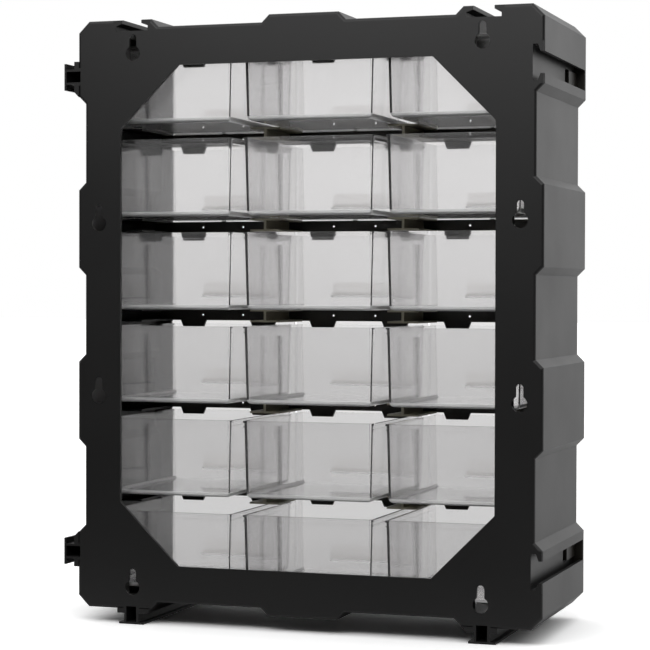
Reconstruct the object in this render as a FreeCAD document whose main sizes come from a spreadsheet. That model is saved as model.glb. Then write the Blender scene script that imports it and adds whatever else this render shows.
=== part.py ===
import FreeCAD, Part
import Sketcher
import math
import os
import re

# A wall box of clear drawers, seen in the photograph from behind. Lengths are millimetres.
# Each piece is drawn in its own frame: x across, z up, and depth measured forward from the back face.
# The finished frame has -Y to the front, Z up and its origin under the middle of the bounding box.

os.makedirs("parts", exist_ok=True)
doc = FreeCAD.newDocument("drawer_cabinet")
sheet = doc.addObject("Spreadsheet::Sheet", "Sizes")

SIZES = {
    # The housing and its stepped outline
    "housing_half": 188.0,
    "outline_height": 463.0,
    "housing_depth": 147.0,
    "wall": 2.6,
    "back_wall": 3.0,
    "back_edge_round": 2.4,
    "step": 6.0,
    "corner_cut": 9.0,
    "side_middle": 31.25,
    "side_block_end": 98.5,
    "side_corner_start": 166.5,
    "top_corner_end": 120.0,
    "top_middle": 28.0,
    # The rear opening
    "window_half": 151.5,
    "window_bottom": 47.0,
    "window_top": 438.5,
    "window_cut": 49.0,
    # The joining rails and slots
    "rail_reach": 12.0,
    "rail_side_spot": 188.0,
    "rail_end_spot": 142.0,
    "platform_half": 12.0,
    "platform_rise": 3.5,
    "neck_half": 6.0,
    "flange_half": 10.5,
    "flange_thick": 1.7,
    "core_half": 4.25,
    "core_sink": 2.0,
    "slot_clearance": 0.3,
    "slot_half": 13.5,
    "mouth_half": 8.15,
    "lip_tip": 3.0,
    "lip_root": 5.0,
    "slot_wall": 2.2,
    "catch_half": 6.5,
    "catch_start": 112.0,
    # The keyholes
    "key_radius": 6.0,
    "key_slot_half": 3.0,
    "key_slot_top": 14.8,
    "key_boss_wall": 1.6,
    "key_boss_depth": 8.0,
    "key_end_spot": 141.0,
    "key_top": 448.6,
    "key_bottom": 29.0,
    "key_side_spot": 170.0,
    "key_side_rise": 68.0,
    # The grid of drawers
    "column_pitch": 115.9,
    "row_pitch": 73.5,
    "first_row": 27.3,
    "drawer_height": 60.5,
    "drawer_back": 14.0,
    "drawer_floor_half": 50.9,
    "drawer_draft": 1.45,
    "drawer_wall": 1.5,
    "drawer_round": 4.0,
    "rim_out": 0.9,
    "rim_thick": 1.4,
    "bead_drop": 5.0,
    "bead_thick": 0.9,
    "panel_gap": 0.2,
    "panel_thick": 2.2,
    "panel_half": 56.7,
    "panel_height": 71.0,
    "pull_half": 27.0,
    "pull_reach": 7.6,
    "pull_wall": 1.6,
    "pull_low": 9.0,
    "pull_rise": 13.0,
    "rib_spot": 88.0,
    "rib_thick": 1.2,
    "rib_gap": 2.0,
    "rib_out": 1.1,
    # The front grid
    "plate_thick": 3.0,
    "opening_half": 170.0,
    "bar_under": 3.0,
    "bar_over": 0.8,
    "bar_back": 130.0,
    "bar_wall": 1.8,
    "tab_spot": 31.5,
    "tab_top_half": 12.0,
    "tab_low_half": 9.0,
    "tab_reach": 3.3,
    "tab_back": 142.0,
    "tab_thick": 2.5,
    "nub_radius": 2.0,
    "nub_rise": 0.6,
    "nub_spot": 132.5,
    "pin_half": 2.4,
    "pin_spot": 18.0,
    "peg_depth": 16.0,
    "arm_thick": 1.8,
    "arm_half": 5.5,
    "arm_back": 118.0,
    # The runners between the columns
    "runner_back": 75.0,
    "runner_half": 12.8,
    "runner_flange": 1.5,
    "runner_web": 2.1,
    "runner_under": 2.5,
    "run_clearance": 0.3,
    "tongue_height": 4.6,
    "tongue_reach": 5.0,
    "fit": 0.1,
    "ledge_inner": 161.0,
    "ledge_back": 64.0,
}

for row, (name, value) in enumerate(SIZES.items(), start=1):
    sheet.set("A%d" % row, str(value))
    sheet.setAlias("A%d" % row, name)

# Sizes that follow from the ones above
FOLLOWING = {
    "centre_rise": "rail_reach + outline_height / 2",
    "outline_half": "outline_height / 2",
    "front_face": "housing_depth + plate_thick",
    "panel_back": "housing_depth + plate_thick + panel_gap",
    "total_depth": "panel_back + panel_thick + pull_reach",
    "slot_depth": "rail_reach - platform_rise + slot_clearance",
    "runner_spot": "column_pitch / 2",
    "row_gap": "row_pitch - drawer_height",
    "bar_height": "row_gap - bar_under - bar_over",
    "runner_height": "row_gap - runner_under - run_clearance",
    "panel_drop": "bar_over + bar_height / 2 - (row_pitch - panel_height) / 2",
}
for row, (name, rule) in enumerate(FOLLOWING.items(), start=len(SIZES) + 1):
    sheet.set("A%d" % row, "=" + re.sub(r"[a-z_]+", lambda word: word.group(0), rule))
    sheet.setAlias("A%d" % row, name)
doc.recompute()

NAMES = set(SIZES) | set(FOLLOWING)
ROWS = 6
COLUMNS = (-1, 0, 1)
# Moving both faces of a 45 degree corner inwards moves their meeting point by this part of the move
MITRE = "0.41421"


def bound(rule):
    """Return a rule with every size in it taken from the sheet."""
    return re.sub(
        r"[a-z_]+",
        lambda word: "Sizes." + word.group(0) if word.group(0) in NAMES else word.group(0),
        rule,
    )


def new_body(name, across, rise):
    """Start a piece whose own frame stands at a place across and up the back face."""
    body = doc.addObject("PartDesign::Body", name)
    body.Label = name
    body.setExpression("Placement.Base.x", bound("-(rail_reach) / 2 + " + across))
    body.setExpression("Placement.Base.y", bound("total_depth / 2"))
    body.setExpression("Placement.Base.z", bound(rise))
    return body


def new_sketch(body, name, role, offset):
    sketch = body.newObject("Sketcher::SketchObject", name)
    plane = [feature for feature in body.Origin.OriginFeatures if feature.Role == role][0]
    sketch.AttachmentSupport = [(plane, "")]
    sketch.MapMode = "FlatFace"
    sketch.setExpression("AttachmentOffset.Base.z", bound(offset))
    return sketch


def add_loop(sketch, corners, around):
    """Draw one closed outline whose corners are held by rules; it starts as a ring at a free place."""
    first = sketch.GeometryCount
    count = len(corners)
    ring = [
        FreeCAD.Vector(
            around + 100 * math.cos(2 * math.pi * turn / count),
            100 * math.sin(2 * math.pi * turn / count),
            0,
        )
        for turn in range(count)
    ]
    sketch.addGeometry(
        [Part.LineSegment(ring[turn], ring[(turn + 1) % count]) for turn in range(count)],
        False,
    )
    held = [
        Sketcher.Constraint("Coincident", first + turn, 2, first + (turn + 1) % count, 1)
        for turn in range(count)
    ]
    rules = []
    for turn, (across, up) in enumerate(corners):
        held.append(Sketcher.Constraint("DistanceX", -1, 1, first + turn, 1, ring[turn].x))
        rules.append(across)
        held.append(Sketcher.Constraint("DistanceY", -1, 1, first + turn, 1, ring[turn].y))
        rules.append(up)
    numbers = sketch.addConstraint(held)
    for number, rule in zip(numbers[count:], rules):
        sketch.setExpression("Constraints[%d]" % number, bound(rule))


def add_circle(sketch, across, up, radius, around):
    number = sketch.addGeometry(
        Part.Circle(FreeCAD.Vector(around, 10, 0), FreeCAD.Vector(0, 0, 1), 5), False
    )
    for kind, rule, start in (("DistanceX", across, around), ("DistanceY", up, 10)):
        held = sketch.addConstraint(Sketcher.Constraint(kind, -1, 1, number, 3, start))
        sketch.setExpression("Constraints[%d]" % held, bound(rule))
    held = sketch.addConstraint(Sketcher.Constraint("Radius", number, 5))
    sketch.setExpression("Constraints[%d]" % held, bound(radius))


def rectangle(left, right, low, high):
    return [(left, low), (right, low), (right, high), (left, high)]


def negative(rule):
    return "-(" + rule + ")"


def pad(body, name, loops, back, front):
    """Add material between two depths."""
    sketch = new_sketch(body, name + "_outline", "XZ_Plane", back)
    for place, corners in enumerate(loops):
        add_loop(sketch, corners, 250 * place)
    feature = body.newObject("PartDesign::Pad", name)
    feature.Refine = False
    feature.Profile = sketch
    feature.setExpression("Length", bound("(" + front + ") - (" + back + ")"))
    return feature


def pocket(body, name, loops, back, front):
    """Take material away between two depths."""
    sketch = new_sketch(body, name + "_outline", "XZ_Plane", front)
    for place, corners in enumerate(loops):
        add_loop(sketch, corners, 250 * place)
    feature = body.newObject("PartDesign::Pocket", name)
    feature.Refine = False
    feature.Profile = sketch
    feature.setExpression("Length", bound("(" + front + ") - (" + back + ")"))
    return feature


def pocket_circles(body, name, centres, radius, back, front):
    sketch = new_sketch(body, name + "_outline", "XZ_Plane", front)
    for place, (across, up) in enumerate(centres):
        add_circle(sketch, across, up, radius, 20 * place)
    feature = body.newObject("PartDesign::Pocket", name)
    feature.Refine = False
    feature.Profile = sketch
    feature.setExpression("Length", bound("(" + front + ") - (" + back + ")"))
    return feature


def stepped_outline(inset):
    """Return the housing's outline, with each face moved inwards by the inset."""
    slide = MITRE + " * (" + inset + ")"
    side = "housing_half - (" + inset + ")"
    side_low = side + " - step"
    end = "outline_half - (" + inset + ")"
    end_low = end + " - step"
    quarter = [
        (side_low, "side_middle + " + slide),
        (side, "side_middle + step + " + slide),
        (side, "side_block_end - " + slide),
        (side_low, "side_block_end + step - " + slide),
        (side_low, "side_corner_start + " + slide),
        (side, "side_corner_start + step + " + slide),
        (side, "outline_half - corner_cut - " + slide),
        ("housing_half - corner_cut - " + slide, end),
        ("top_corner_end + step + " + slide, end),
        ("top_corner_end + " + slide, end_low),
        ("top_middle + step - " + slide, end_low),
        ("top_middle - " + slide, end),
    ]
    corners = [(across, "centre_rise + " + up) for across, up in quarter]
    corners += [(negative(across), "centre_rise + " + up) for across, up in reversed(quarter)]
    corners += [(negative(across), "centre_rise - (" + up + ")") for across, up in quarter]
    corners += [(across, "centre_rise - (" + up + ")") for across, up in reversed(quarter)]
    return corners


def on_side(profile, sign, rise_sign):
    """Stand a rail or slot profile of (along, outward) pairs on a side face."""
    base = "centre_rise " + rise_sign + " rail_side_spot"
    flip = "+" if rise_sign == "+" else "-"
    return [
        (sign + "(housing_half + " + outward + ")", base + " " + flip + " (" + along + ")")
        for along, outward in profile
    ]


def on_end(profile, sign, rise_sign):
    """Stand the same profile on the top or the bottom."""
    return [
        (
            sign + "(rail_end_spot + " + along + ")",
            "centre_rise " + rise_sign + " (outline_half + " + outward + ")",
        )
        for along, outward in profile
    ]


# Rail profile: along the face (positive towards the housing's corner), then outwards from the raised face
RAIL = [
    ("-(platform_half + platform_rise + 0.5)", "-0.5"),
    ("-(platform_half)", "platform_rise"),
    ("-(neck_half)", "platform_rise"),
    ("-(neck_half)", "rail_reach - flange_thick"),
    ("-(flange_half)", "rail_reach - flange_thick"),
    ("-(flange_half)", "rail_reach"),
    ("flange_half", "rail_reach"),
    ("flange_half", "rail_reach - flange_thick"),
    ("neck_half", "rail_reach - flange_thick"),
    ("neck_half", "platform_rise"),
    ("platform_half", "platform_rise"),
    ("platform_half", "-0.5"),
]
CORE = [
    ("-(core_half)", "-(core_sink)"),
    ("core_half", "-(core_sink)"),
    ("core_half", "rail_reach - flange_thick"),
    ("-(core_half)", "rail_reach - flange_thick"),
]
CORE_BACKING = [
    ("-(core_half + wall)", "-(core_sink + wall)"),
    ("core_half + wall", "-(core_sink + wall)"),
    ("core_half + wall", "-0.5"),
    ("-(core_half + wall)", "-0.5"),
]
SLOT = [
    ("-(mouth_half)", "1"),
    ("-(mouth_half)", "-(lip_tip)"),
    ("-(slot_half)", "-(lip_root)"),
    ("-(slot_half)", "-(slot_depth)"),
    ("slot_half", "-(slot_depth)"),
    ("slot_half", "-(lip_root)"),
    ("mouth_half", "-(lip_tip)"),
    ("mouth_half", "1"),
]
SLOT_BOX = [
    ("-(slot_half + slot_wall)", "-(slot_depth + slot_wall)"),
    ("slot_half + slot_wall", "-(slot_depth + slot_wall)"),
    ("slot_half + slot_wall", "-0.5"),
    ("-(slot_half + slot_wall)", "-0.5"),
]
CATCH = [
    ("-(catch_half)", "-(slot_depth + slot_wall + 1)"),
    ("catch_half", "-(slot_depth + slot_wall + 1)"),
    ("catch_half", "-(slot_depth - 0.5)"),
    ("-(catch_half)", "-(slot_depth - 0.5)"),
]
PEG = [
    ("-(core_half - fit)", "-(core_sink - fit)"),
    ("core_half - fit", "-(core_sink - fit)"),
    ("core_half - fit", "rail_reach - flange_thick - fit"),
    ("-(core_half - fit)", "rail_reach - flange_thick - fit"),
]
ARM = [
    ("-(arm_half)", "-(slot_depth)"),
    ("arm_half", "-(slot_depth)"),
    ("arm_half", "-(slot_depth - arm_thick)"),
    ("-(arm_half)", "-(slot_depth - arm_thick)"),
]
BARB = [
    ("-(arm_half)", "-(slot_depth + slot_wall)"),
    ("arm_half", "-(slot_depth + slot_wall)"),
    ("arm_half", "-(slot_depth - 0.2)"),
    ("-(arm_half)", "-(slot_depth - 0.2)"),
]


def at_rails(profile):
    return [
        on_side(profile, "", "+"),
        on_side(profile, "", "-"),
        on_end(profile, "", "-"),
        on_end(profile, "-", "-"),
    ]


def at_slots(profile):
    return [
        on_side(profile, "-", "+"),
        on_side(profile, "-", "-"),
        on_end(profile, "", "+"),
        on_end(profile, "-", "+"),
    ]


def row_bottom(row):
    return "first_row + %d * row_pitch" % row


# The rear housing
housing = new_body("rear_housing", "0", "0")
shell = pad(housing, "shell", [stepped_outline("0")], "0", "housing_depth")
doc.recompute([shell])
rounded = housing.newObject("PartDesign::Fillet", "back_edge")
back_edges = [
    "Edge%d" % number
    for number, edge in enumerate(shell.Shape.Edges, start=1)
    if abs(edge.BoundBox.YMin) < 0.01 and abs(edge.BoundBox.YMax) < 0.01
]
rounded.Base = (shell, back_edges)
rounded.setExpression("Radius", bound("back_edge_round"))
pocket(housing, "hollow", [stepped_outline("wall")], "back_wall", "housing_depth")
pad(housing, "slot_boxes", at_slots(SLOT_BOX), "0", "housing_depth")
pad(housing, "core_backings", at_rails(CORE_BACKING), "0", "housing_depth")
pad(housing, "rails", at_rails(RAIL), "0", "housing_depth")
pocket(housing, "rail_cores", at_rails(CORE), "0", "housing_depth")
pocket(housing, "slots", at_slots(SLOT), "0", "housing_depth")
pocket(housing, "catches", at_slots(CATCH), "catch_start", "housing_depth")
window = [
    ("window_half", "window_bottom + window_cut"),
    ("window_half", "window_top - window_cut"),
    ("window_half - window_cut", "window_top"),
    ("-(window_half - window_cut)", "window_top"),
    ("-(window_half)", "window_top - window_cut"),
    ("-(window_half)", "window_bottom + window_cut"),
    ("-(window_half - window_cut)", "window_bottom"),
    ("window_half - window_cut", "window_bottom"),
]
KEYHOLES = []
for sign in ("", "-"):
    KEYHOLES += [
        (sign + "(key_end_spot)", "key_top"),
        (sign + "(key_end_spot)", "key_bottom"),
        (sign + "(key_side_spot)", "centre_rise + key_side_rise + key_radius - 2"),
        (sign + "(key_side_spot)", "centre_rise - key_side_rise + key_radius - 2"),
    ]
bosses = [
    rectangle(
        across + " - key_radius - key_boss_wall",
        across + " + key_radius + key_boss_wall",
        up + " - key_radius - key_boss_wall",
        up + " + key_slot_top + key_boss_wall",
    )
    for across, up in KEYHOLES
]
boss_hollows = [
    rectangle(
        across + " - key_radius",
        across + " + key_radius",
        up + " - key_radius",
        up + " + key_slot_top",
    )
    for across, up in KEYHOLES
]
slots_up = [
    rectangle(
        across + " - key_slot_half",
        across + " + key_slot_half",
        up,
        up + " + key_slot_top - key_slot_half",
    )
    for across, up in KEYHOLES
]
pad(housing, "key_bosses", bosses, "back_wall - 0.5", "key_boss_depth")
pocket(housing, "key_hollows", boss_hollows, "back_wall", "key_boss_depth")
pocket_circles(housing, "key_rounds", KEYHOLES, "key_radius", "0", "back_wall")
pocket(housing, "key_slots", slots_up, "0", "back_wall")
ends_up = [(across, up + " + key_slot_top - key_slot_half") for across, up in KEYHOLES]
pocket_circles(housing, "key_ends", ends_up, "key_slot_half", "0", "back_wall")
pocket(housing, "window", [window], "0", "back_wall")


def ledge(sign, low, reach):
    """One flange that carries or guides the outer edge of a drawer."""
    return rectangle(
        sign + "(ledge_inner)", sign + "(" + reach + ")", low, low + " + runner_flange"
    )


RAISED_GAPS = (1, 3)
for gap in range(ROWS - 1):
    reach = "housing_half - 1" if gap in RAISED_GAPS else "housing_half - step - 1"
    lower = row_bottom(gap) + " + drawer_height + runner_under"
    ledges = []
    for sign in ("", "-"):
        ledges.append(ledge(sign, lower, reach))
        ledges.append(ledge(sign, lower + " + runner_height - runner_flange", reach))
    pad(housing, "ledges_%d" % gap, ledges, "ledge_back", "bar_back")
end_ledges = []
for sign in ("", "-"):
    for low in (
        "first_row - run_clearance - runner_flange",
        row_bottom(ROWS - 1) + " + drawer_height + runner_under",
    ):
        end_ledges.append(ledge(sign, low, "housing_half - 1"))
pad(housing, "end_ledges", end_ledges, "ledge_back", "bar_back")
floor_face = "rail_reach + step + 1"
ceiling_face = "rail_reach + outline_height - step - 1"
guides = []
for sign in ("", "-"):
    spot = sign + "(runner_spot)"
    flange_top = "first_row - run_clearance"
    guides.append([
        (spot + " - runner_web / 2", floor_face),
        (spot + " + runner_web / 2", floor_face),
        (spot + " + runner_web / 2", flange_top + " - runner_flange"),
        (spot + " + runner_half", flange_top + " - runner_flange"),
        (spot + " + runner_half", flange_top),
        (spot + " - runner_half", flange_top),
        (spot + " - runner_half", flange_top + " - runner_flange"),
        (spot + " - runner_web / 2", flange_top + " - runner_flange"),
    ])
    flange_low = row_bottom(ROWS - 1) + " + drawer_height + runner_under"
    guides.append([
        (spot + " - runner_web / 2", ceiling_face),
        (spot + " - runner_web / 2", flange_low + " + runner_flange"),
        (spot + " - runner_half", flange_low + " + runner_flange"),
        (spot + " - runner_half", flange_low),
        (spot + " + runner_half", flange_low),
        (spot + " + runner_half", flange_low + " + runner_flange"),
        (spot + " + runner_web / 2", flange_low + " + runner_flange"),
        (spot + " + runner_web / 2", ceiling_face),
    ])
pad(housing, "guides", guides, "runner_back", "bar_back")

# The front grid
grid = new_body("front_grid", "0", "0")
pad(grid, "plate", [stepped_outline("0")], "housing_depth", "front_face")
opening_low = "first_row - bar_over"
opening_high = row_bottom(ROWS - 1) + " + drawer_height + bar_under"
pocket(
    grid,
    "opening",
    [rectangle("-(opening_half)", "opening_half", opening_low, opening_high)],
    "housing_depth",
    "front_face",
)
bars = []
bar_hollows = []
for gap in range(ROWS - 1):
    low = row_bottom(gap) + " + drawer_height + bar_under"
    bars.append(rectangle("-(opening_half + 2)", "opening_half + 2", low, low + " + bar_height"))
    bar_hollows.append(
        rectangle(
            "-(opening_half - bar_wall)",
            "opening_half - bar_wall",
            low + " + bar_wall",
            low + " + bar_height - bar_wall",
        )
    )
pad(grid, "crossbars", bars, "bar_back", "front_face")
pocket(grid, "crossbar_hollows", bar_hollows, "bar_back + bar_wall", "front_face")
pad(
    grid,
    "top_strip",
    [rectangle("-(opening_half - 8)", "opening_half - 8", opening_high, opening_high + " + bar_under")],
    "tab_back",
    "housing_depth",
)
for row in range(ROWS):
    root = row_bottom(row) + " + drawer_height + bar_under + 1"
    tip = row_bottom(row) + " + drawer_height - tab_reach"
    tabs = []
    for column in COLUMNS:
        for sign in ("-", "+"):
            spot = "%d * column_pitch %s tab_spot" % (column, sign)
            tabs.append([
                (spot + " - tab_low_half", tip),
                (spot + " + tab_low_half", tip),
                (spot + " + tab_top_half", root),
                (spot + " - tab_top_half", root),
            ])
    pad(grid, "stop_tabs_%d" % row, tabs, "tab_back", "tab_back + tab_thick")
for gap in range(ROWS - 1):
    middle = row_bottom(gap) + " + drawer_height + bar_under + bar_height / 2"
    holes = []
    for sign in ("-", ""):
        spot = sign + "(runner_spot)"
        holes.append(
            rectangle(
                spot + " - runner_web / 2 - fit",
                spot + " + runner_web / 2 + fit",
                middle + " - tongue_height / 2 - fit",
                middle + " + tongue_height / 2 + fit",
            )
        )
    for column in COLUMNS:
        for sign in ("-", "+"):
            spot = "%d * column_pitch %s pin_spot" % (column, sign)
            holes.append([
                (spot + " - pin_half / 2", middle),
                (spot, middle + " - pin_half / 2"),
                (spot + " + pin_half / 2", middle),
                (spot, middle + " + pin_half / 2"),
            ])
    pocket(grid, "bar_holes_%d" % gap, holes, "bar_back", "bar_back + bar_wall")
pad(grid, "pegs", at_rails(PEG), "housing_depth - peg_depth", "housing_depth")
pad(grid, "arms", at_slots(ARM), "arm_back", "housing_depth")
pad(grid, "barbs", at_slots(BARB), "arm_back", "arm_back + 2 * arm_thick")
for gap in range(ROWS - 1):
    sketch = new_sketch(grid, "nubs_%d_outline" % gap, "XY_Plane", row_bottom(gap + 1) + " - bar_over")
    for place, column in enumerate(COLUMNS):
        add_circle(sketch, "%d * column_pitch" % column, "-(nub_spot)", "nub_radius", 20 * place)
    nubs = grid.newObject("PartDesign::Pad", "nubs_%d" % gap)
    nubs.Profile = sketch
    nubs.setExpression("Length", bound("nub_rise"))


def make_runner(name, gap, sign):
    """One beam between two columns, plugged into the crossbar by a tongue."""
    body = new_body(
        name,
        sign + "(runner_spot)",
        row_bottom(gap) + " + drawer_height + runner_under",
    )
    profile = [
        ("-(runner_half)", "0"),
        ("runner_half", "0"),
        ("runner_half", "runner_flange"),
        ("runner_web / 2", "runner_flange"),
        ("runner_web / 2", "runner_height - runner_flange"),
        ("runner_half", "runner_height - runner_flange"),
        ("runner_half", "runner_height"),
        ("-(runner_half)", "runner_height"),
        ("-(runner_half)", "runner_height - runner_flange"),
        ("-(runner_web) / 2", "runner_height - runner_flange"),
        ("-(runner_web) / 2", "runner_flange"),
        ("-(runner_half)", "runner_flange"),
    ]
    pad(body, name + "_beam", [profile], "runner_back", "bar_back")
    middle = "bar_under - runner_under + bar_height / 2"
    tongue = rectangle(
        "-(runner_web) / 2",
        "runner_web / 2",
        middle + " - tongue_height / 2",
        middle + " + tongue_height / 2",
    )
    pad(body, name + "_tongue", [tongue], "bar_back - 1", "bar_back + tongue_reach")
    return body


def pad_up(body, name, loops, low, high):
    """Add material between two heights; outlines are (across, forward depth) pairs."""
    sketch = new_sketch(body, name + "_outline", "XY_Plane", low)
    for place, corners in enumerate(loops):
        add_loop(sketch, [(across, negative(depth)) for across, depth in corners], 250 * place)
    feature = body.newObject("PartDesign::Pad", name)
    feature.Refine = False
    feature.Profile = sketch
    feature.setExpression("Length", bound("(" + high + ") - (" + low + ")"))
    return feature


def across_feature(body, kind, name, corners, half_width):
    """Add or cut along x, evenly to both sides; the outline is (forward depth, up) pairs."""
    sketch = new_sketch(body, name + "_outline", "YZ_Plane", "0")
    add_loop(sketch, [(negative(depth), up) for depth, up in corners], 0)
    feature = body.newObject(kind, name)
    feature.Profile = sketch
    feature.Midplane = True
    feature.setExpression("Length", bound("2 * (" + half_width + ")"))
    return feature


def edges_at(shape, test):
    return [
        "Edge%d" % number
        for number, edge in enumerate(shape.Edges, start=1)
        if test(edge.BoundBox)
    ]


def make_drawer(name, column, row):
    """One clear drawer with its front panel and pull."""
    body = new_body(name, "%d * column_pitch" % column, row_bottom(row))
    top_half = "drawer_floor_half + drawer_draft"
    pad(
        body,
        name + "_tub",
        [[
            ("-(drawer_floor_half)", "0"),
            ("drawer_floor_half", "0"),
            (top_half, "drawer_height"),
            (negative(top_half), "drawer_height"),
        ]],
        "drawer_back",
        "panel_back",
    )
    lean_cut = [
        ("drawer_back - 1", "0"),
        ("drawer_back + drawer_draft", "0"),
        ("drawer_back", "drawer_height"),
        ("drawer_back - 1", "drawer_height"),
    ]
    lean = across_feature(
        body, "PartDesign::Pocket", name + "_lean", lean_cut, "drawer_floor_half + drawer_draft + 1"
    )
    doc.recompute([lean])
    outer = body.newObject("PartDesign::Fillet", name + "_outer_round")
    outer.Base = (
        lean,
        edges_at(
            lean.Shape,
            lambda box: box.ZMax < 0.01
            and (box.YMax - box.YMin > SIZES["drawer_back"] or box.YMin > -SIZES["rib_spot"]),
        ),
    )
    outer.setExpression("Radius", bound("drawer_round"))
    slope = "drawer_draft / drawer_height * "
    inner_low = "drawer_floor_half - drawer_wall + " + slope + "drawer_wall"
    inner_high = top_half + " - drawer_wall + " + slope + "1"
    inside = pocket(
        body,
        name + "_inside",
        [[
            (negative(inner_low), "drawer_wall"),
            (inner_low, "drawer_wall"),
            (inner_high, "drawer_height + 1"),
            (negative(inner_high), "drawer_height + 1"),
        ]],
        "drawer_back + drawer_draft + drawer_wall",
        "front_face - drawer_wall - 1",
    )
    doc.recompute([inside])
    inner = body.newObject("PartDesign::Fillet", name + "_inner_round")
    inner.Base = (
        inside,
        edges_at(
            inside.Shape,
            lambda box: abs(box.ZMax - SIZES["drawer_wall"]) < 0.01
            and abs(box.ZMin - SIZES["drawer_wall"]) < 0.01
            and box.YMax - box.YMin > SIZES["drawer_back"],
        ),
    )
    inner.setExpression("Radius", bound("drawer_round - drawer_wall"))
    inner_back = "drawer_back + drawer_draft + drawer_wall"
    across_feature(
        body,
        "PartDesign::Pocket",
        name + "_inner_lean",
        [
            (inner_back + " + 1", "drawer_round"),
            (inner_back + " + 1", "drawer_height + 1"),
            (inner_back + " - drawer_draft", "drawer_height + 1"),
            (inner_back + " - drawer_draft", "drawer_height"),
            (inner_back, "drawer_round"),
        ],
        "drawer_floor_half - drawer_wall",
    )
    for label, low, high, out in (
        ("_rim", "drawer_height - rim_thick", "drawer_height", "rim_out"),
        ("_bead", "drawer_height - bead_drop", "drawer_height - bead_drop + bead_thick", "rim_out - 0.3"),
    ):
        pad_up(
            body,
            name + label,
            [
                rectangle(
                    negative(top_half + " + " + out),
                    top_half + " + " + out,
                    "drawer_back - (" + out + ")",
                    "panel_back",
                ),
                rectangle(
                    negative(top_half + " - drawer_wall / 2"),
                    top_half + " - drawer_wall / 2",
                    "drawer_back + drawer_wall / 2",
                    "front_face - 1",
                ),
            ],
            low,
            high,
        )
    ribs = []
    for sign in ("", "-"):
        for side in ("-", "+"):
            middle = "rib_spot %s (rib_gap + rib_thick) / 2" % side
            ribs.append(
                rectangle(
                    sign + "(drawer_floor_half - drawer_wall - rib_out)",
                    sign + "(drawer_floor_half - 0.05)",
                    middle + " - rib_thick / 2",
                    middle + " + rib_thick / 2",
                )
            )
    pad_up(body, name + "_ribs", ribs, "drawer_round", "drawer_height - 8.5")
    pad(
        body,
        name + "_panel",
        [rectangle("-(panel_half)", "panel_half", "-(panel_drop)", "panel_height - panel_drop")],
        "panel_back",
        "panel_back + panel_thick",
    )
    pull_face = "panel_back + panel_thick"
    pull = [
        (pull_face + " - 0.5", "pull_low"),
        (pull_face + " + pull_reach", "pull_low + 3"),
        (pull_face + " + pull_reach", "pull_low + pull_rise"),
        (pull_face + " + pull_reach - pull_wall", "pull_low + pull_rise"),
        (pull_face + " + pull_reach - pull_wall", "pull_low + 3 + pull_wall"),
        (pull_face + " - 0.5", "pull_low + pull_wall"),
    ]
    across_feature(body, "PartDesign::Pad", name + "_pull", pull, "pull_half")
    return body


def copy_body(name, source, across, rise):
    """Another piece of the same mould, at its own place."""
    body = new_body(name, across, rise)
    copy = doc.addObject("PartDesign::FeatureBase", name + "_copy")
    copy.BaseFeature = source
    body.Group = [copy]
    body.Tip = copy
    return body


pieces = [housing, grid]
first_runner = None
for gap in range(ROWS - 1):
    for side, sign in (("right", ""), ("left", "-")):
        name = "runner_%d_%s" % (gap + 1, side)
        if first_runner is None:
            first_runner = make_runner(name, gap, sign)
            pieces.append(first_runner)
        else:
            rise = row_bottom(gap) + " + drawer_height + runner_under"
            pieces.append(copy_body(name, first_runner, sign + "(runner_spot)", rise))
COLUMN_WORDS = {-1: "left", 0: "middle", 1: "right"}
first_drawer = None
for row in range(ROWS):
    for column in COLUMNS:
        name = "drawer_%d_%s" % (row + 1, COLUMN_WORDS[column])
        if first_drawer is None:
            first_drawer = make_drawer(name, column, row)
            pieces.append(first_drawer)
        else:
            pieces.append(
                copy_body(name, first_drawer, "%d * column_pitch" % column, row_bottom(row))
            )
doc.recompute()

faulty = [
    item.Name
    for item in doc.Objects
    if "Invalid" in item.State or "Error" in item.State
]
if faulty:
    raise RuntimeError("Faulty features: " + ", ".join(faulty))
for piece in pieces:
    shape = piece.Shape
    if shape.isNull() or not shape.isValid() or len(shape.Solids) != 1:
        raise RuntimeError("Faulty shape: %s with %d solids" % (piece.Label, len(shape.Solids)))
    shape.exportStep("parts/" + piece.Label + ".step")
    print(piece.Label, shape.BoundBox, round(shape.Volume))
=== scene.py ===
import math

import bpy
from mathutils import Matrix, Vector

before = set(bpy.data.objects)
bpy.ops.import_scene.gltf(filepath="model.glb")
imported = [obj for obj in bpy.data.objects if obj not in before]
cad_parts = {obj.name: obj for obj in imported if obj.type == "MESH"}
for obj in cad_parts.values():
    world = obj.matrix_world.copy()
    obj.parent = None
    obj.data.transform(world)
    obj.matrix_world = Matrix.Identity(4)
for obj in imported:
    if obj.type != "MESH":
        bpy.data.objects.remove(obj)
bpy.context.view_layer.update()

# Colours, as linear values
BLACK = (0.008, 0.0077, 0.0077)
WARM_BLACK = (0.02, 0.0172, 0.0125)
GREY = (0.37, 0.345, 0.26)
CLEAR = (0.885, 0.88, 0.883)
FROSTED = (0.98, 0.972, 0.965)
# Painted highlight: a whiter, scattering plastic on the drawers' rims and rounded edges, standing in for
# the light their rounding gathers
PAINTED_RIM_HIGHLIGHT = (0.97, 0.97, 0.965)

# How rough each plastic is
BLACK_ROUGH = 0.42
GREY_ROUGH = 0.4
CLEAR_ROUGH = 0.05
FROSTED_ROUGH = 0.38
PAINTED_RIM_HIGHLIGHT_ROUGH = 0.2

# Grain of the moulded plastics: waves in a metre, and depth in metres
BLACK_GRAIN = (900, 0.0001)
GREY_GRAIN = (700, 0.00006)
GRAIN_STRENGTH = 0.25
CLOUD_SIZE = 14
LESS_ROUGH = 0.05
MORE_ROUGH = 0.07

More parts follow.
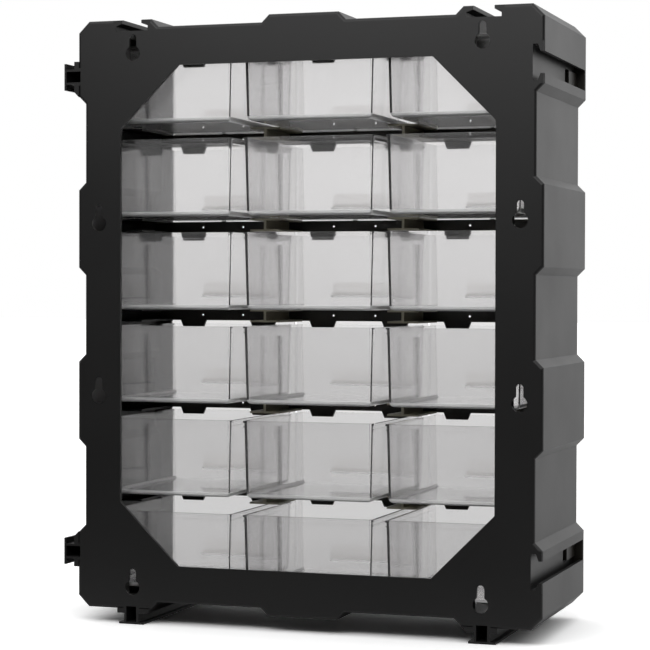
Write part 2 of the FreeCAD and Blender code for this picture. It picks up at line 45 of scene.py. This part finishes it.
# Light through the drawers' plastic: the share that passes straight, and how far the rest spreads
CLEAR_SHARE = 0.95
FROSTED_SHARE = 1
PAINTED_RIM_HIGHLIGHT_SHARE = 0.35
SPREAD = 0.004
PLASTIC_IOR = 1.45

# Faces in front of this plane are the drawers' front panels and pulls, which are finely frosted
PANEL_BACK = -0.0701

# Height of a drawer's rim, and the limit below which a face belongs to a rounded edge; both kinds of face
# get the painted rim highlight
RIM = 0.0016
ROUNDED = 0.99

# Camera, fitted to the photograph
CAMERA_PLACE = Vector((-0.536, 1.600, 0.264))
YAW = math.radians(18.6)
PITCH = math.radians(-0.97)
ROLL = math.radians(0.14)
SENSOR = 36
FOCAL_PIXELS = 2107
PHOTO_PIXELS = 650

# Studio: levels of the backdrop, the sky and the floor, where 1 is white
BACKDROP = 1.0
DIM_ROOM = 0.03
SKY = 1.1
FLOOR_SEEN = 1.5
# Floor tone for light bouncing off it, far side and camera side: painted shade, darker towards the camera
# side for the dim room there
FLOOR_FAR = 0.8
FLOOR_NEAR = 0.1
FLOOR_SIZE = 30

SOFTBOX_PLACE = (0, 0.85, 0.8)
SOFTBOX_AIM = (0, 0.08, 0.42)
SOFTBOX_SIZE = (1.2, 0.4)
SOFTBOX_WATTS = 4.4


def new_material(name):
    material = bpy.data.materials.new(name)
    material.use_nodes = True
    nodes = material.node_tree.nodes
    return material, nodes, material.node_tree.links, nodes["Principled BSDF"]


def noise(nodes, links, place, scale, detail):
    node = nodes.new("ShaderNodeTexNoise")
    node.inputs["Scale"].default_value = scale
    node.inputs["Detail"].default_value = detail
    links.new(place.outputs["Object"], node.inputs["Vector"])
    return node.outputs["Fac"]


def moulded(name, colour, rough, grain):
    """A moulded plastic with a fine grain and slightly uneven gloss."""
    material, nodes, links, shader = new_material(name)
    scale, depth = grain
    place = nodes.new("ShaderNodeTexCoord")
    bump = nodes.new("ShaderNodeBump")
    bump.inputs["Strength"].default_value = GRAIN_STRENGTH
    bump.inputs["Distance"].default_value = depth
    links.new(noise(nodes, links, place, scale, 3), bump.inputs["Height"])
    links.new(bump.outputs["Normal"], shader.inputs["Normal"])
    uneven = nodes.new("ShaderNodeMapRange")
    uneven.inputs["To Min"].default_value = rough - LESS_ROUGH
    uneven.inputs["To Max"].default_value = rough + MORE_ROUGH
    links.new(noise(nodes, links, place, CLOUD_SIZE, 4), uneven.inputs["Value"])
    links.new(uneven.outputs["Result"], shader.inputs["Roughness"])
    shader.inputs["Base Color"].default_value = (*colour, 1)
    return material


def clear_plastic(name, colour, rough, share):
    """Clear plastic that passes a share of the light straight on and scatters the rest inside."""
    material, _, _, shader = new_material(name)
    shader.inputs["Base Color"].default_value = (*colour, 1)
    shader.inputs["Roughness"].default_value = rough
    shader.inputs["IOR"].default_value = PLASTIC_IOR
    shader.inputs["Transmission Weight"].default_value = share
    if share < 1:
        shader.inputs["Subsurface Weight"].default_value = 1
        shader.inputs["Subsurface Radius"].default_value = (1, 1, 1)
        shader.inputs["Subsurface Scale"].default_value = SPREAD
    return material


def larger(nodes, links, first, second):
    node = nodes.new("ShaderNodeMath")
    node.operation = "MAXIMUM"
    links.new(first, node.inputs[0])
    links.new(second, node.inputs[1])
    return node.outputs["Value"]


def smooth_step(nodes, links, value, low, high, to_low, to_high):
    node = nodes.new("ShaderNodeMapRange")
    node.interpolation_type = "SMOOTHSTEP"
    links.new(value, node.inputs["Value"])
    node.inputs["From Min"].default_value = low
    node.inputs["From Max"].default_value = high
    node.inputs["To Min"].default_value = to_low
    node.inputs["To Max"].default_value = to_high
    return node.outputs["Result"]


def split(nodes, links, vector):
    node = nodes.new("ShaderNodeSeparateXYZ")
    links.new(vector, node.inputs["Vector"])
    return node.outputs


def dress_drawer(mesh):
    """The panel and pull get the second material; the rim and the rounded edges get the third, a whiter
    scattering plastic that is a painted highlight for the light their rounding gathers.
    """
    top = max(corner.co.z for corner in mesh.vertices)
    for face in mesh.polygons:
        steepest = max(abs(part) for part in face.normal)
        if face.center.y < PANEL_BACK:
            face.material_index = 1
        # Rim and rounded-edge faces get the painted highlight plastic
        elif face.center.z > top - RIM or steepest < ROUNDED:
            face.material_index = 2


def set_camera():
    forward = Vector((
        math.sin(YAW) * math.cos(PITCH),
        -math.cos(YAW) * math.cos(PITCH),
        math.sin(PITCH),
    ))
    right = forward.cross(Vector((0, 0, 1))).normalized()
    up = right.cross(forward)
    rolled_right = right * math.cos(ROLL) + up * math.sin(ROLL)
    rolled_up = up * math.cos(ROLL) - right * math.sin(ROLL)
    data = bpy.data.cameras.new("camera")
    data.sensor_width = SENSOR
    data.lens = SENSOR * FOCAL_PIXELS / PHOTO_PIXELS
    data.clip_start = 0.05
    data.clip_end = 50
    camera = bpy.data.objects.new("camera", data)
    bpy.context.collection.objects.link(camera)
    turn = Matrix((rolled_right, rolled_up, -forward)).transposed().to_4x4()
    camera.matrix_world = Matrix.Translation(CAMERA_PLACE) @ turn
    bpy.context.scene.camera = camera


def set_world():
    """A white backdrop beyond the cabinet's front, a soft sky and a dim room behind the camera."""
    world = bpy.data.worlds.new("studio")
    bpy.context.scene.world = world
    world.use_nodes = True
    nodes = world.node_tree.nodes
    links = world.node_tree.links
    background = nodes["Background"]
    direction = split(nodes, links, nodes.new("ShaderNodeTexCoord").outputs["Generated"])
    far_side = smooth_step(nodes, links, direction["Y"], -0.6, 0.0, BACKDROP, DIM_ROOM)
    above = smooth_step(nodes, links, direction["Z"], 0.2, 0.9, 0.0, SKY)
    level = larger(nodes, links, far_side, above)
    rays = nodes.new("ShaderNodeLightPath").outputs
    seen = larger(nodes, links, rays["Is Camera Ray"], rays["Is Transmission Ray"])
    shown = nodes.new("ShaderNodeMix")
    shown.data_type = "FLOAT"
    links.new(seen, shown.inputs[0])
    links.new(level, shown.inputs[2])
    shown.inputs[3].default_value = BACKDROP
    links.new(shown.outputs[0], background.inputs["Strength"])
    background.inputs["Color"].default_value = (1, 1, 1, 1)


def add_floor():
    """A floor that the camera sees as white, with painted shade towards the camera side for the light
    bouncing off it, so that it lights the object's far side more than its back.
    """
    bpy.ops.mesh.primitive_plane_add(size=FLOOR_SIZE, location=(0, 0, 0))
    floor = bpy.context.object
    floor.name = "floor"
    white, nodes, links, shader = new_material("white_floor")
    shader.inputs["Roughness"].default_value = 0.9
    shader.inputs["Specular IOR Level"].default_value = 0.1
    place = split(nodes, links, nodes.new("ShaderNodeNewGeometry").outputs["Position"])
    # Painted shade: for light bouncing off the floor, its colour darkens from the far side towards the
    # camera side, standing in for the dim room behind the camera
    far_side = smooth_step(nodes, links, place["Y"], -0.1, 0.4, FLOOR_FAR, FLOOR_NEAR)
    tone = nodes.new("ShaderNodeMix")
    tone.data_type = "RGBA"
    links.new(nodes.new("ShaderNodeLightPath").outputs["Is Camera Ray"], tone.inputs[0])
    links.new(far_side, tone.inputs[6])
    tone.inputs[7].default_value = (FLOOR_SEEN, FLOOR_SEEN, FLOOR_SEEN, 1)
    links.new(tone.outputs[2], shader.inputs["Base Color"])
    floor.data.materials.append(white)
    return floor


def add_softbox():
    data = bpy.data.lights.new("softbox", "AREA")
    data.shape = "RECTANGLE"
    data.size, data.size_y = SOFTBOX_SIZE
    data.energy = SOFTBOX_WATTS
    light = bpy.data.objects.new("softbox", data)
    bpy.context.collection.objects.link(light)
    light.location = SOFTBOX_PLACE
    aim = Vector(SOFTBOX_AIM) - Vector(SOFTBOX_PLACE)
    light.rotation_euler = aim.to_track_quat("-Z", "Y").to_euler()
    light.visible_camera = False


black = moulded("black_plastic", BLACK, BLACK_ROUGH, BLACK_GRAIN)
warm_black = moulded("warm_black_plastic", WARM_BLACK, BLACK_ROUGH, BLACK_GRAIN)
grey = moulded("grey_plastic", GREY, GREY_ROUGH, GREY_GRAIN)
clear = clear_plastic("clear_plastic", CLEAR, CLEAR_ROUGH, CLEAR_SHARE)
frosted = clear_plastic("frosted_plastic", FROSTED, FROSTED_ROUGH, FROSTED_SHARE)
# Painted highlight for the drawers' rims and rounded edges: the same clear plastic made whiter and
# scattering
painted_rim_highlight = clear_plastic("painted_rim_highlight_plastic", PAINTED_RIM_HIGHLIGHT, PAINTED_RIM_HIGHLIGHT_ROUGH, PAINTED_RIM_HIGHLIGHT_SHARE)

for name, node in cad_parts.items():
    if name.startswith("drawer"):
        paints = [clear, frosted, painted_rim_highlight]
    elif name.startswith("runner"):
        paints = [grey]
    elif name == "front_grid":
        paints = [warm_black]
    else:
        paints = [black]
    node.data.materials.clear()
    for paint in paints:
        node.data.materials.append(paint)
    if name.startswith("drawer"):
        dress_drawer(node.data)

set_camera()
set_world()
floor = add_floor()
add_softbox()

scene = bpy.context.scene
scene.view_settings.view_transform = "Standard"
scene.cycles.max_bounces = 32
scene.cycles.transmission_bounces = 32
scene.cycles.glossy_bounces = 8
scene.cycles.transparent_max_bounces = 64
